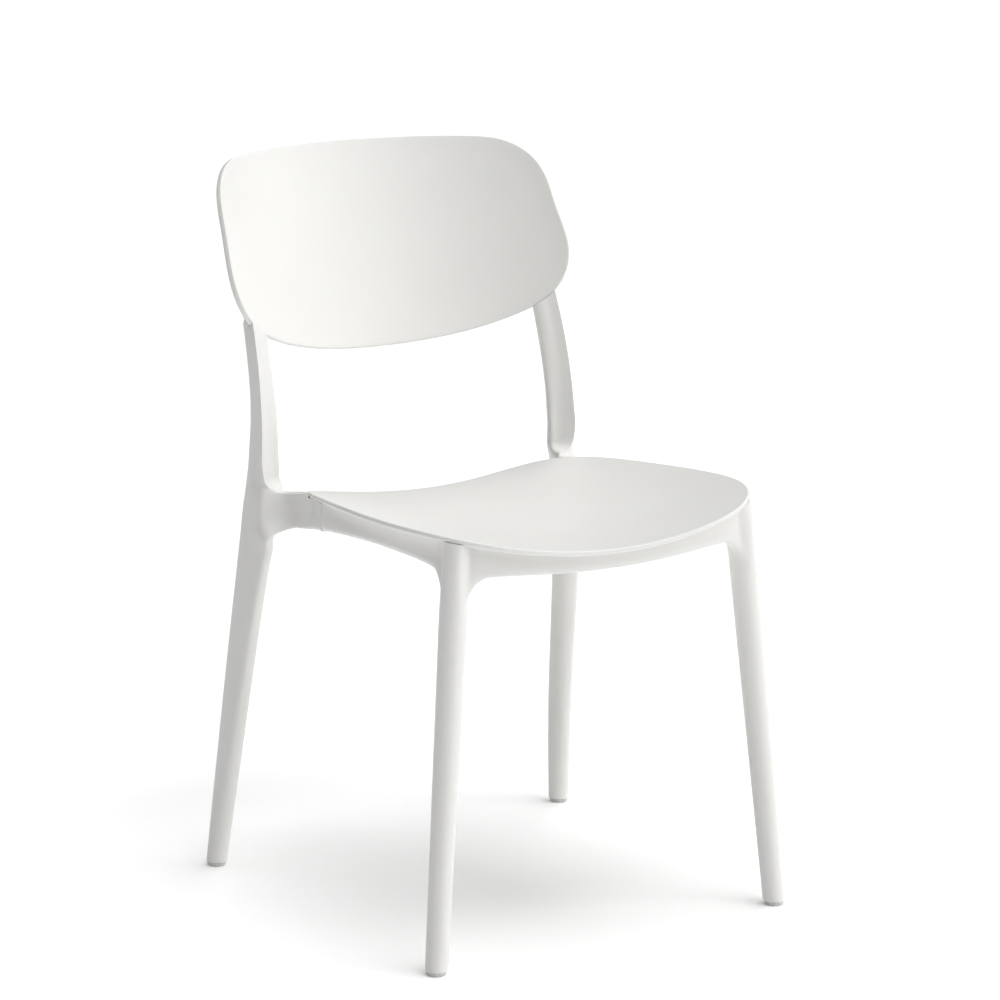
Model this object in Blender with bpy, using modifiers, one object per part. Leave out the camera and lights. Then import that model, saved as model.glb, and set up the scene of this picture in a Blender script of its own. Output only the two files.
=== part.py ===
"""A stacking side chair: a moulded seat and back on a four-legged plastic frame.

Metres, +Z up. The chair faces -Y and stands on z = 0. The origin is on the floor, in the
middle of its footprint. Right means +X.
"""

import math

import bmesh
import bpy
from mathutils import Matrix, Vector

# ---------------------------------------------------------------- driving dimensions

GAP = 0.0003                    # between pieces that touch
SHELL_CLEARANCE = 0.0006        # between a curved shell and the frame

# Seat: saddle surface z = centre line + side rise * x squared, cut to a soft four-cornered outline.
SEAT_THICK = 0.0055
SEAT_MIDDLE_Z = 0.4203
SEAT_FRONT_Y, SEAT_REAR_Y = -0.2886, 0.1036
SEAT_LIP_START_Y, SEAT_LIP_RISE = -0.140, 0.0065
SEAT_TAIL_START_Y, SEAT_TAIL_DROP = 0.010, 0.0035
SEAT_SIDE_RISE_FRONT, SEAT_SIDE_RISE_REAR = 0.84, 0.66
SEAT_CENTRE = (0.0, -0.085)
# Half of the outline, front middle to rear middle. The fourth and tenth points are the corners.
SEAT_HALF_OUTLINE = (
    (0.0, SEAT_FRONT_Y), (0.0665, -0.2860), (0.1276, -0.2767), (0.1745, -0.2550),
    (0.2050, -0.2085), (0.2107, -0.1441), (0.2030, -0.0715), (0.1901, 0.0036),
    (0.1760, 0.0550), (0.1545, 0.0925), (0.1176, 0.1088), (0.0600, 0.1066), (0.0, SEAT_REAR_Y),
)

# Back: part of a tilted cylinder, with a squared-off oval outline that narrows to the top.
BACK_THICK = 0.0070
BACK_CENTRE = Vector((0.0, 0.2358, 0.6728))
BACK_TILT = math.radians(22.4)
BACK_RADIUS = 0.328
BACK_HALF_ARC = 0.2295
BACK_HALF_HEIGHT = 0.119
BACK_TAPER = 0.0626
BACK_TOP_POWERS = (1.73, 5.34)
BACK_BOTTOM_POWERS = (2.44, 4.30)
BACK_TOP_CORNER, BACK_BOTTOM_CORNER = math.radians(28), math.radians(33)

# Front legs: round and tapered, leaning outward and forward to the floor.
LEG_FOOT_Z = 0.0050
FRONT_LEG_FOOT = Vector((0.2138, -0.2625, 0.0))
FRONT_LEG_LEAN = Vector((-0.0898, 0.052, 1.0))
FRONT_LEG_RADIUS, FRONT_LEG_FLARE = 0.0120, 0.0066
FRONT_LEG_TURN = -32.5          # degrees: sets where the rails meet the leg

# Rear legs: round at the foot, flat-sided above, with the upright growing out of the top.
REAR_FOOT_CENTRE = (0.2276, 0.1818)
REAR_FOOT_RADIUS = 0.0116

# Rails.
FRONT_RAIL_BOW, FRONT_RAIL_END_Y, FRONT_RAIL_SPAN = 0.0218, -0.2532, 0.168
RAIL_THICK = 0.0105
SIDE_RAIL_THICK = 0.012
SIDE_RAIL_FRONT_Y, SIDE_RAIL_FRONT_X, SIDE_RAIL_SLOPE = -0.225, 0.1840, 0.0206
SEAM_Y = 0.0083
SEAM_WIDTH = 0.0006
RAIL_CAGE_TOP = 0.453           # the seat's underside trims the rails from here

# Fastenings.
TONGUE_X, TONGUE_THICK = 0.1678, 0.0085
LAP_DEPTH = 0.0008              # how far the tongue is let into the side rail
TONGUE_FRONT_Y, TONGUE_REAR_Y = -0.058, 0.070
TONGUE_LOW_Z, TONGUE_HIGH_Z = 0.4150, 0.4330
BOLT_RADIUS, BOLT_HEAD_RADIUS, BOLT_HEAD_HIGH = 0.0025, 0.0046, 0.0026
INSERT_RADIUS, INSERT_LONG = 0.0036, 0.0080
FRAME_BOLT_Y = (-0.045, -0.018)
FRAME_BOLT_Z = 0.4240
CROSS_RAIL_FACE_X = 0.1620
CROSS_RAIL_BOLT_Y = (0.0795, 0.0970)
CROSS_RAIL_BOLT_Z = 0.4075
SCREW_RADIUS, SCREW_HEAD_RADIUS, SCREW_HEAD_HIGH = 0.0018, 0.0037, 0.0022
BOSS_RADIUS = 0.0046
LUG_HALF = 0.0105
LUG_FLOOR = 0.0035
FRONT_LUG = (0.100, -0.2345)
REAR_LUG = (0.100, 0.0620)
BACK_SCREW_ARC = 0.1935
BACK_SCREW_HEIGHTS = (-0.080, -0.040)
CAP_RADIUS, CAP_THICK = 0.0050, 0.0018
ROUND_SIDES = 12
SMALL_SIDES = 10

# Glides.
GLIDE_RADIUS, GLIDE_HIGH = 0.0104, 0.0047
GLIDE_STEM_RADIUS, GLIDE_STEM_TOP = 0.0035, 0.0200

WHITE = (0.83, 0.83, 0.815)

# Outlines of the rear frame's cross-section, as shares of its width inward and its depth back.
# Points run from the outer front corner over the front, the inside and the back to the outside.
ROUND_SECTION = ((0.146, 0.0), (0.5, -0.207), (0.854, 0.0), (1.0, 0.5),
                 (0.854, 1.0), (0.5, 1.207), (0.146, 1.0), (0.0, 0.5))
LEG_SECTION = ((0.10, 0.0), (0.48, -0.04), (0.86, 0.11), (1.0, 0.43),
               (0.85, 0.73), (0.41, 0.91), (0.08, 1.0), (0.0, 0.47))
UPRIGHT_SECTION = ((0.0, 0.0), (0.38, 0.23), (0.72, 0.357), (1.0, 0.655),
                   (0.70, 1.04), (0.34, 1.09), (0.05, 1.0), (0.0, 0.5))
BASE_SECTION = ((0.0, 0.0), (0.38, 0.18), (0.74, 0.29), (1.0, 0.42),
                (0.61, 0.98), (0.33, 1.07), (0.05, 1.0), (0.0, 0.5))
SHOULDER_SECTION = ((0.50, 0.10), (0.66, 0.08), (0.86, 0.16), (1.0, 0.36),
                    (0.64, 0.89), (0.34, 1.03), (0.06, 1.0), (0.02, 0.32))
LOW_SHOULDER_SECTION = ((0.30, 0.16), (0.62, 0.02), (0.94, 0.12), (1.0, 0.44),
                        (0.80, 0.80), (0.38, 0.96), (0.07, 1.0), (0.0, 0.38))


# ---------------------------------------------------------------- scene and materials

def clear_scene():
    for obj in list(bpy.data.objects):
        bpy.data.objects.remove(obj, do_unlink=True)


def collection(name, shown):
    made = bpy.data.collections.new(name)
    bpy.context.scene.collection.children.link(made)
    made.hide_render = not shown
    return made


def plastic(name, colour, roughness, metallic=0.0):
    material = bpy.data.materials.new(name)
    material.use_nodes = True
    shader = material.node_tree.nodes["Principled BSDF"]
    shader.inputs["Base Color"].default_value = (*colour, 1.0)
    shader.inputs["Roughness"].default_value = roughness
    shader.inputs["Metallic"].default_value = metallic
    return material


def add(name, bm, into, material=None):
    """A new object from a bmesh, with its faces turned outward."""
    mesh = bpy.data.meshes.new(name)
    unused = [vert for vert in bm.verts if not vert.link_faces]
    bmesh.ops.delete(bm, geom=unused, context="VERTS")
    bmesh.ops.recalc_face_normals(bm, faces=bm.faces)
    if bm.calc_volume(signed=True) < 0:
        bmesh.ops.reverse_faces(bm, faces=bm.faces)
    bm.to_mesh(mesh)
    bm.free()
    obj = bpy.data.objects.new(name, mesh)
    into.objects.link(obj)
    if material:
        mesh.materials.append(material)
    mesh.shade_smooth()
    mesh.set_sharp_from_angle(angle=math.radians(35))
    return obj


def cutter(name, bm):
    obj = add(name, bm, CUTTERS)
    obj.hide_render = True
    obj.display_type = "WIRE"
    return obj


def boolean(obj, tool, operation="DIFFERENCE"):
    modifier = obj.modifiers.new(tool.name, "BOOLEAN")
    modifier.operation = operation
    modifier.solver = "EXACT"
    modifier.object = tool


def smooth(obj, levels=1):
    modifier = obj.modifiers.new("Smooth", "SUBSURF")
    modifier.levels = modifier.render_levels = levels
    modifier.boundary_smooth = "ALL"


def triangulate(obj):
    """Curved four-sided faces aren't flat, so they are split before anything is cut from them."""
    obj.modifiers.new("Triangles", "TRIANGULATE")


def pass_through(obj, rounds=4):
    """Moves a cage until the smoothed surface runs through the points the cage was given."""
    goals = [vert.co.copy() for vert in obj.data.vertices]
    for _ in range(rounds):
        obj.data.update()
        bpy.context.view_layer.update()
        graph = bpy.context.evaluated_depsgraph_get()
        reached = obj.evaluated_get(graph).data.vertices
        misses = [goal - reached[i].co for i, goal in enumerate(goals)]
        for vert, miss in zip(obj.data.vertices, misses):
            vert.co += miss
    obj.data.update()


# ---------------------------------------------------------------- cage helpers

def quads_between(bm, lower, upper, skip=()):
    """Joins two rings of the same length, leaving the named columns open."""
    count = len(lower)
    for i in range(count):
        if i not in skip:
            j = (i + 1) % count
            bm.faces.new((lower[i], lower[j], upper[j], upper[i]))


def crease_ring(bm, ring, value=1.0):
    layer = bm.edges.layers.float.get("crease_edge") or bm.edges.layers.float.new("crease_edge")
    for i, vert in enumerate(ring):
        bm.edges.get((vert, ring[(i + 1) % len(ring)]))[layer] = value


def cap_eight(bm, ring):
    for corners in ((0, 1, 2, 3), (0, 3, 4, 7), (4, 5, 6, 7)):
        bm.faces.new([ring[i] for i in corners])


def cap_rail(bm, ring):
    """Closes a rail's ten-point ring: four points up one face, one on top, four down, one below."""
    for corners in ((0, 1, 7, 8), (1, 2, 6, 7), (2, 3, 5, 6), (3, 4, 5), (0, 8, 9)):
        bm.faces.new([ring[i] for i in corners])


def ring_of(bm, points):
    return [bm.verts.new(point) for point in points]


def mouth(rings, front, middle, back):
    """The ten-point edge of the opening left in a leg by two open columns over four levels."""
    up = [ring[front] for ring in rings]
    down = [ring[back] for ring in reversed(rings)]
    return up + [rings[-1][middle]] + down + [rings[0][middle]]


def rail_ring(place, thick, low, high):
    """Ten points around a rail. place(share, z) gives the point that share of the thickness inward."""
    rounding = 0.28 * thick
    rows = [low + rounding, low + 0.36 * (high - low), low + 0.70 * (high - low), high - rounding]
    up = [place(0.0, z) for z in rows]
    down = [place(1.0, z) for z in reversed(rows)]
    return up + [place(0.5, high)] + down + [place(0.5, low)]


# ---------------------------------------------------------------- seat and back surfaces

def seat_top(x, y):
    """Height of the seat's upper surface."""
    lip = max(0.0, (SEAT_LIP_START_Y - y) / (SEAT_LIP_START_Y - SEAT_FRONT_Y))
    tail = max(0.0, (y - SEAT_TAIL_START_Y) / (SEAT_REAR_Y - SEAT_TAIL_START_Y))
    along = (y - SEAT_FRONT_Y) / (SEAT_REAR_Y - SEAT_FRONT_Y)
    side_rise = SEAT_SIDE_RISE_FRONT + along * (SEAT_SIDE_RISE_REAR - SEAT_SIDE_RISE_FRONT)
    centre_line = SEAT_MIDDLE_Z + SEAT_LIP_RISE * lip ** 2 - SEAT_TAIL_DROP * tail ** 2
    return centre_line + side_rise * x * x


def seat_point(x, y):
    return Vector((x, y, seat_top(x, y)))


def seat_outline():
    """The whole outline, from the front left corner around by the right."""
    right = list(SEAT_HALF_OUTLINE)
    left = [(-x, y) for x, y in reversed(right[1:-1])]
    loop = right + left
    return loop[-3:] + loop[:-3]


def back_point(arc, height):
    """A point on the front of the back, at that arc length from the middle and that height."""
    angle = arc / BACK_RADIUS
    forward = BACK_RADIUS * (1.0 - math.cos(angle))
    up = Vector((0.0, math.sin(BACK_TILT), math.cos(BACK_TILT)))
    out = Vector((0.0, -math.cos(BACK_TILT), math.sin(BACK_TILT)))
    return BACK_CENTRE + Vector((BACK_RADIUS * math.sin(angle), 0, 0)) + height * up + forward * out


def back_normal(arc):
    """The direction that the front of the back faces at that arc length."""
    angle = arc / BACK_RADIUS
    out = Vector((0.0, -math.cos(BACK_TILT), math.sin(BACK_TILT)))
    return Vector((-math.sin(angle), 0, 0)) + math.cos(angle) * out


def back_edge(turn):
    """(arc, height) on the outline at that turn, counted from the right-hand side."""
    wide, tall = BACK_TOP_POWERS if math.sin(turn) > 0 else BACK_BOTTOM_POWERS
    height = BACK_HALF_HEIGHT * math.copysign(abs(math.sin(turn)) ** (2 / tall), math.sin(turn))
    taper = 1.0 - BACK_TAPER * height / BACK_HALF_HEIGHT
    arc = BACK_HALF_ARC * math.copysign(abs(math.cos(turn)) ** (2 / wide), math.cos(turn)) * taper
    return arc, height


def even_points(curve, start, end, count, fineness=400):
    """count points along curve(t), evenly spaced from start towards end, without the last."""
    line = [curve(start + (end - start) * i / fineness) for i in range(fineness + 1)]
    run = [0.0]
    for a, b in zip(line, line[1:]):
        run.append(run[-1] + math.dist(a, b))
    spots = []
    for k in range(count):
        want = run[-1] * k / count
        i = max(j for j in range(fineness) if run[j] <= want)
        share = (want - run[i]) / (run[i + 1] - run[i])
        spots.append(tuple(p + share * (q - p) for p, q in zip(line[i], line[i + 1])))
    return spots


def back_outline(across, upward):
    low, high, half = -BACK_BOTTOM_CORNER, BACK_TOP_CORNER, math.pi
    stops = (-half - low, low, high, half - high, half - low)
    counts = (across, upward, across, upward)
    outline = []
    for start, end, count in zip(stops, stops[1:], counts):
        outline += even_points(back_edge, start, end, count)
    return outline


def sheet(outline, across, upward, centre, rings, surface):
    """An open surface over an outline: rings that follow its edge, around a four-sided grid.

    The outline has 2 * (across + upward) points, from the low left corner around by the right.
    """
    bm = bmesh.new()

    def scaled(point, share):
        return tuple(c + share * (p - c) for p, c in zip(point, centre))

    loops = [[bm.verts.new(surface(*scaled(p, share))) for p in outline] for share in rings]
    edge = [scaled(p, rings[-1]) for p in outline]
    corner = (0, across, across + upward, 2 * across + upward)
    grid = {}
    for i in range(across + 1):
        for j in range(upward + 1):
            s, t = i / across, j / upward
            low, high = edge[i], edge[corner[3] - i]
            left, right = edge[-j], edge[corner[1] + j]
            flat = [
                (1 - t) * low[k] + t * high[k] + (1 - s) * left[k] + s * right[k]
                - (1 - s) * (1 - t) * edge[corner[0]][k] - s * (1 - t) * edge[corner[1]][k]
                - s * t * edge[corner[2]][k] - (1 - s) * t * edge[corner[3]][k]
                for k in (0, 1)
            ]
            if i in (0, across) or j in (0, upward):
                on_edge = {0: -j, across: corner[1] + j}.get(i, i if j == 0 else corner[3] - i)
                grid[i, j] = loops[-1][on_edge]
            else:
                grid[i, j] = bm.verts.new(surface(*flat))
    for outer, inner in zip(loops, loops[1:]):
        quads_between(bm, outer, inner)
    for i in range(across):
        for j in range(upward):
            bm.faces.new((grid[i, j], grid[i + 1, j], grid[i + 1, j + 1], grid[i, j + 1]))
    return bm


def grown(outline, centre, margin):
    """The outline moved outward by about the margin."""
    moved = []
    for point in outline:
        away = Vector(point) - Vector(centre)
        moved.append(tuple(Vector(centre) + away * (1 + margin / away.length)))
    return moved


def thicken(obj, behind, ahead=0.0):
    """Gives an open surface thickness behind its front, and ahead of it."""
    modifier = obj.modifiers.new("Thickness", "SOLIDIFY")
    modifier.thickness = behind + ahead
    modifier.offset = (ahead - behind) / (ahead + behind)
    modifier.use_even_offset = True


def face_towards(obj, direction):
    """Turns the whole surface over if it faces away from the direction."""
    if sum(face.normal.dot(direction) for face in obj.data.polygons) < 0:
        obj.data.flip_normals()


def seat_sheet(name, margin, into, material=None):
    outline = grown(seat_outline(), SEAT_CENTRE, margin)
    obj = add(name, sheet(outline, 6, 6, SEAT_CENTRE, (1.0, 0.955, 0.84), seat_point), into, material)
    face_towards(obj, Vector((0, 0, 1)))
    smooth(obj)
    pass_through(obj)
    return obj


def back_sheet(name, margin, into, material=None):
    outline = grown(back_outline(8, 4), (0.0, 0.0), margin)
    obj = add(name, sheet(outline, 8, 4, (0.0, 0.0), (1.0, 0.955, 0.84), back_point), into, material)
    face_towards(obj, Vector((0, -1, 0)))
    smooth(obj)
    pass_through(obj)
    return obj


def space_for_seat(name, margin):
    """The room that the seat takes up: its underside and outline with clearance, open upward."""
    obj = seat_sheet(name, margin, CUTTERS)
    thicken(obj, SEAT_THICK + SHELL_CLEARANCE, 0.030)
    triangulate(obj)
    obj.hide_render = True
    obj.display_type = "WIRE"
    return obj


def space_for_back(name):
    obj = back_sheet(name, SHELL_CLEARANCE, CUTTERS)
    thicken(obj, BACK_THICK + SHELL_CLEARANCE, 0.040)
    triangulate(obj)
    obj.hide_render = True
    obj.display_type = "WIRE"
    return obj


# ---------------------------------------------------------------- simple solids

def rod(start, end, radius, sides=ROUND_SIDES):
    """A bmesh cylinder between two points."""
    start, end = Vector(start), Vector(end)
    along = end - start
    bm = bmesh.new()
    turn = along.to_track_quat("Z", "Y").to_matrix().to_4x4()
    place = Matrix.Translation((start + end) / 2) @ turn
    bmesh.ops.create_cone(bm, cap_ends=True, segments=sides, radius1=radius, radius2=radius,
                          depth=along.length, matrix=place)
    return bm


def block(low, high):
    """A bmesh box between two corners."""
    low, high = Vector(low), Vector(high)
    bm = bmesh.new()
    place = Matrix.Translation((low + high) / 2) @ Matrix.Diagonal((*(high - low), 1.0))
    bmesh.ops.create_cube(bm, size=1.0, matrix=place)
    return bm


def mirrored(point, side):
    return Vector((side * point[0], point[1], point[2]))


def turned(name, profile, foot, direction, material, sides=ROUND_SIDES):
    """A turned piece. The profile's (radius, height) points run from the top down its outer side."""
    bm = bmesh.new()
    verts = [bm.verts.new((radius, 0.0, height)) for radius, height in profile]
    for a, b in zip(verts, verts[1:]):
        bm.edges.new((a, b))
    bmesh.ops.remove_doubles(bm, verts=bm.verts, dist=0.00001)
    mesh = bpy.data.meshes.new(name)
    bm.to_mesh(mesh)
    bm.free()
    obj = bpy.data.objects.new(name, mesh)
    CHAIR.objects.link(obj)
    mesh.materials.append(material)
    screw = obj.modifiers.new("Turn", "SCREW")
    screw.steps = screw.render_steps = sides
    screw.use_merge_vertices = True
    screw.merge_threshold = 0.00001
    screw.use_smooth_shade = True
    obj.location = foot
    obj.rotation_mode = "QUATERNION"
    obj.rotation_quaternion = Vector(direction).to_track_quat("Z", "Y")
    return obj


def headed(name, head_under, direction, length, sizes, material):
    """A bolt or screw. direction points from its tip to its head; head_under is under the head."""
    shank, head, high = sizes
    chamfer = 0.2 * high
    profile = ((0.0, high), (head - chamfer, high), (head, high - chamfer), (head, 0.0),
               (shank, 0.0), (shank, -length + shank), (0.4 * shank, -length), (0.0, -length))
    return turned(name, profile, head_under, direction, material, sides=SMALL_SIDES)


# ---------------------------------------------------------------- frame shapes

def front_leg_ring(z):
    centre = FRONT_LEG_FOOT + z * FRONT_LEG_LEAN
    radius = FRONT_LEG_RADIUS + FRONT_LEG_FLARE * z
    turns = [math.radians(FRONT_LEG_TURN - 45 * i) for i in range(8)]
    return [centre + radius * Vector((math.cos(t), math.sin(t), 0)) for t in turns]


def side_rail_face(y):
    """How far out the side rail's outer face is."""
    return SIDE_RAIL_FRONT_X + SIDE_RAIL_SLOPE * (y - SIDE_RAIL_FRONT_Y)


def front_rail_face(x):
    """Where the front rail's front face is: it bows forward between the legs."""
    return FRONT_RAIL_END_Y - FRONT_RAIL_BOW * (1.0 - (x / FRONT_RAIL_SPAN) ** 2)


def front_frame_cage():
    """The right half: leg, side rail and half of the front rail, open at the middle plane."""
    bm = bmesh.new()
    bm.edges.layers.float.new("crease_edge")
    levels = (LEG_FOOT_Z, 0.120, 0.230, 0.320, 0.365, 0.388, 0.408, 0.430, 0.452, 0.468)
    rings = [ring_of(bm, front_leg_ring(z)) for z in levels]
    junction = rings[5:9]
    for lower, upper in zip(rings, rings[1:]):
        open_columns = (2, 3, 4, 5) if lower in junction[:3] else ()
        quads_between(bm, lower, upper, open_columns)
    cap_eight(bm, rings[0])
    cap_eight(bm, rings[-1])
    crease_ring(bm, rings[0])

    # Side rail: (y, lowest z), from the leg back to the seam. The web rounds down into the leg.
    previous = mouth(junction, 6, 5, 4)
    side_stations = ((-0.2180, 0.4058), (-0.2080, 0.4117), (-0.1900, 0.4137), (-0.1450, 0.4150),
                     (-0.0900, 0.4146), (-0.0350, 0.4121), (SEAM_Y - SEAM_WIDTH, 0.4089))
    for y, low in side_stations:
        def place(share, z, y=y):
            return Vector((side_rail_face(y) - share * SIDE_RAIL_THICK, y, z))
        ring = ring_of(bm, rail_ring(place, SIDE_RAIL_THICK, low, RAIL_CAGE_TOP))
        quads_between(bm, previous, ring)
        previous = ring
    cap_rail(bm, previous)
    crease_ring(bm, previous)

    # Front rail: (x, lowest z), from the leg to the middle.
    previous = mouth(junction, 2, 3, 4)
    for x, low in ((0.1600, 0.4000), (0.1525, 0.4048), (0.1420, 0.4067), (0.1050, 0.4054),
                   (0.0530, 0.4030), (0.0, 0.4022)):
        def place(share, z, x=x):
            return Vector((x, front_rail_face(x) + share * RAIL_THICK, z))
        ring = ring_of(bm, rail_ring(place, RAIL_THICK, low, RAIL_CAGE_TOP))
        quads_between(bm, previous, ring)
        previous = ring
    return bm


def blend_section(first, second, share):
    return [tuple(a + share * (b - a) for a, b in zip(p, q)) for p, q in zip(first, second)]


def rear_ring(z, x_out, width, y_front, depth, section):
    return [Vector((x_out - inward * width, y_front + back * depth, z)) for inward, back in section]


def rear_frame_levels():
    """(z, outer x, width, front y, depth, section) from the foot to the top of the upright."""
    foot_x = REAR_FOOT_CENTRE[0] + REAR_FOOT_RADIUS
    foot_reach = REAR_FOOT_RADIUS * math.sin(math.radians(45))
    foot_y = REAR_FOOT_CENTRE[1] - foot_reach
    low_leg = blend_section(ROUND_SECTION, LEG_SECTION, 0.4)

    def turning(share):
        return blend_section(BASE_SECTION, SHOULDER_SECTION, share)

    def rising(share):
        return blend_section(BASE_SECTION, UPRIGHT_SECTION, share)

    return (
        (LEG_FOOT_Z, foot_x - 0.0004, 2 * REAR_FOOT_RADIUS, foot_y, 2 * foot_reach, ROUND_SECTION),
        (0.120, 0.2297, 0.0238, 0.1552, 0.0246, low_leg),
        (0.250, 0.2191, 0.0222, 0.1297, 0.0374, LEG_SECTION),
        (0.345, 0.2115, 0.0208, 0.1100, 0.0472, LEG_SECTION),
        (0.372, 0.2093, 0.0206, 0.1022, 0.0524, LEG_SECTION),
        (0.389, 0.2081, 0.0209, 0.0980, 0.0547, LEG_SECTION),
        (0.404, 0.2068, 0.0225, 0.0985, 0.0530, LOW_SHOULDER_SECTION),
        (0.419, 0.2057, 0.0244, 0.1003, 0.0495, LOW_SHOULDER_SECTION),
        (0.4335, 0.2046, 0.0306, 0.1040, 0.0435, SHOULDER_SECTION),
        (0.443, 0.2037, 0.0294, 0.1105, 0.0360, turning(0.37)),
        (0.453, 0.2029, 0.0285, 0.1111, 0.0340, turning(0.15)),
        (0.466, 0.2021, 0.0275, 0.1118, 0.0322, BASE_SECTION),
        (0.482, 0.2011, 0.0268, 0.1126, 0.0310, rising(0.15)),
        (0.505, 0.1999, 0.0262, 0.1145, 0.0281, rising(0.4)),
        (0.540, 0.1981, 0.0251, 0.1201, 0.0263, rising(0.8)),
        (0.575, 0.1963, 0.0239, 0.1290, 0.0262, UPRIGHT_SECTION),
        (0.610, 0.1944, 0.0232, 0.1410, 0.0252, UPRIGHT_SECTION),
        (0.650, 0.1922, 0.0228, 0.1574, 0.0240, UPRIGHT_SECTION),
        (0.690, 0.1900, 0.0222, 0.1738, 0.0230, UPRIGHT_SECTION),
        (0.704, 0.1878, 0.0180, 0.1822, 0.0170, UPRIGHT_SECTION),
    )


def rear_frame_cage():
    """The right-hand rear frame: leg, upright and the stub that meets the side rail."""
    bm = bmesh.new()
    layer = bm.edges.layers.float.new("crease_edge")
    levels = rear_frame_levels()
    rings = [ring_of(bm, rear_ring(*level)) for level in levels]
    junction = rings[5:9]
    for lower, upper in zip(rings, rings[1:]):
        quads_between(bm, lower, upper, (0, 1) if lower in junction[:3] else ())
    cap_eight(bm, rings[0])
    cap_eight(bm, rings[-1])
    crease_ring(bm, rings[0])

    # The upright's outer front edge is crisp. It softens where the frame turns into the leg.
    for lower, upper in zip(rings[8:-2], rings[9:-1]):
        bm.edges.get((lower[0], upper[0]))[layer] = 1.0
    bm.edges.get((rings[-2][0], rings[-1][0]))[layer] = 0.6

    # Stub: (low y, high y, outer x, inner x, lowest z, highest z).
    stations = (
        (0.0900, 0.0975, 0.1805, 0.1690, 0.3950, 0.4335),
        (0.0800, 0.0820, 0.1775, 0.1660, 0.3968, 0.4358),
        (0.0625, 0.0625, 0.1768, 0.1650, 0.3995, 0.4392),
        (0.0450, 0.0450, 0.1780, 0.1660, 0.4022, 0.4425),
        (0.0270, 0.0270, 0.1836, 0.1700, 0.4055, 0.4425),
        (SEAM_Y, SEAM_Y, side_rail_face(SEAM_Y), 0.1735, 0.4081, 0.4420),
    )
    previous = mouth(junction, 0, 1, 2)
    for low_y, high_y, outer, inner, low, high in stations:
        def place(share, z, s=(low_y, high_y, outer, inner, low, high)):
            up = (z - s[4]) / (s[5] - s[4])
            return Vector((s[2] + share * (s[3] - s[2]), s[0] + up * (s[1] - s[0]), z))
        ring = ring_of(bm, rail_ring(place, 0.4 * (outer - inner), low, high))
        quads_between(bm, previous, ring)
        bm.edges.get((previous[3], ring[3]))[layer] = 1.0
        previous = ring
    cap_rail(bm, previous)
    crease_ring(bm, previous)
    return bm


# ---------------------------------------------------------------- pieces

def make_seat(material):
    seat = seat_sheet("seat_shell", 0.0, CHAIR, material)
    thicken(seat, SEAT_THICK)
    triangulate(seat)
    for i, (x, y, foot) in enumerate(seat_bosses()):
        top = seat_top(x, y) - 0.4 * SEAT_THICK
        boss = cutter(f"seat_boss_{i}", rod((x, y, foot + GAP), (x, y, top), BOSS_RADIUS))
        boolean(seat, boss, "UNION")
        hole = rod((x, y, foot - 0.001), (x, y, foot + 0.0105), SCREW_RADIUS + GAP)
        boolean(seat, cutter(f"seat_boss_hole_{i}", hole))
    return seat


def seat_bosses():
    """(x, y, height of the lug's floor) for the four screws under the seat."""
    spots = []
    for x, y in (FRONT_LUG, REAR_LUG):
        floor = seat_top(x, y) - SEAT_THICK - 0.0085
        spots += [(side * x, y, floor) for side in (1, -1)]
    return spots


def make_back(material):
    back = back_sheet("backrest_shell", 0.0, CHAIR, material)
    thicken(back, BACK_THICK)
    triangulate(back)
    for i, (spot, out) in enumerate(back_screw_places()):
        start = spot - out * (BACK_THICK + 0.002)
        end = spot - out * (BACK_THICK - 0.0050)
        boolean(back, cutter(f"back_hole_{i}", rod(start, end, SCREW_RADIUS + GAP)))
    return back


def back_screw_places():
    """(point on the back's front, direction that it faces) for each screw: right, then left."""
    places = []
    for side in (1, -1):
        for height in BACK_SCREW_HEIGHTS:
            arc = side * BACK_SCREW_ARC
            places.append((back_point(arc, height), back_normal(arc)))
    return places


def lug(name, x, y, floor, reach_y):
    """A seat lug: a block that reaches to a rail, drilled for the seat's boss and its screw."""
    low_y, high_y = sorted((y, reach_y))
    low_y, high_y = min(low_y, y - LUG_HALF), max(high_y, y + LUG_HALF)
    bottom = floor - LUG_FLOOR
    body = cutter(name, block((x - LUG_HALF, low_y, bottom), (x + LUG_HALF, high_y, floor + 0.030)))
    bore = cutter(name + "_bore", rod((x, y, floor), (x, y, floor + 0.040), BOSS_RADIUS + GAP))
    clear = rod((x, y, bottom - 0.002), (x, y, floor + 0.002), SCREW_RADIUS + GAP)
    return body, bore, cutter(name + "_clearance", clear)


def make_front_frame(material):
    frame = add("front_frame", front_frame_cage(), CHAIR, material)
    mirror = frame.modifiers.new("Mirror", "MIRROR")
    mirror.merge_threshold = 0.0001
    smooth(frame)
    pass_through(frame)
    triangulate(frame)
    cuts = []
    for i, (x, y, floor) in enumerate(seat_bosses()[:2]):
        body, bore, clear = lug(f"front_lug_{i}", x, y, floor, front_rail_face(x) + 0.5 * RAIL_THICK)
        boolean(frame, body, "UNION")
        cuts += [bore, clear]
    for side in (1, -1):
        foot = mirrored(FRONT_LEG_FOOT, side)
        cuts.append(stem_hole(f"front_stem_hole_{side}", foot))
        cuts.append(tongue_room(f"tongue_room_{side}", side))
        for y in FRAME_BOLT_Y:
            face = lap_face(y)
            start = mirrored((face - 0.002, y, FRAME_BOLT_Z), side)
            end = mirrored((face + 4 * GAP + INSERT_LONG, y, FRAME_BOLT_Z), side)
            cuts.append(cutter(f"insert_pocket_{side}_{y}", rod(start, end, INSERT_RADIUS + GAP)))
    for tool in cuts + [SEAT_TRIM]:
        boolean(frame, tool)
    return frame


def stem_hole(name, foot):
    top = Vector((foot[0], foot[1], GLIDE_STEM_TOP + GAP))
    return cutter(name, rod((foot[0], foot[1], -0.002), top, GLIDE_STEM_RADIUS + GAP))


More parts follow.
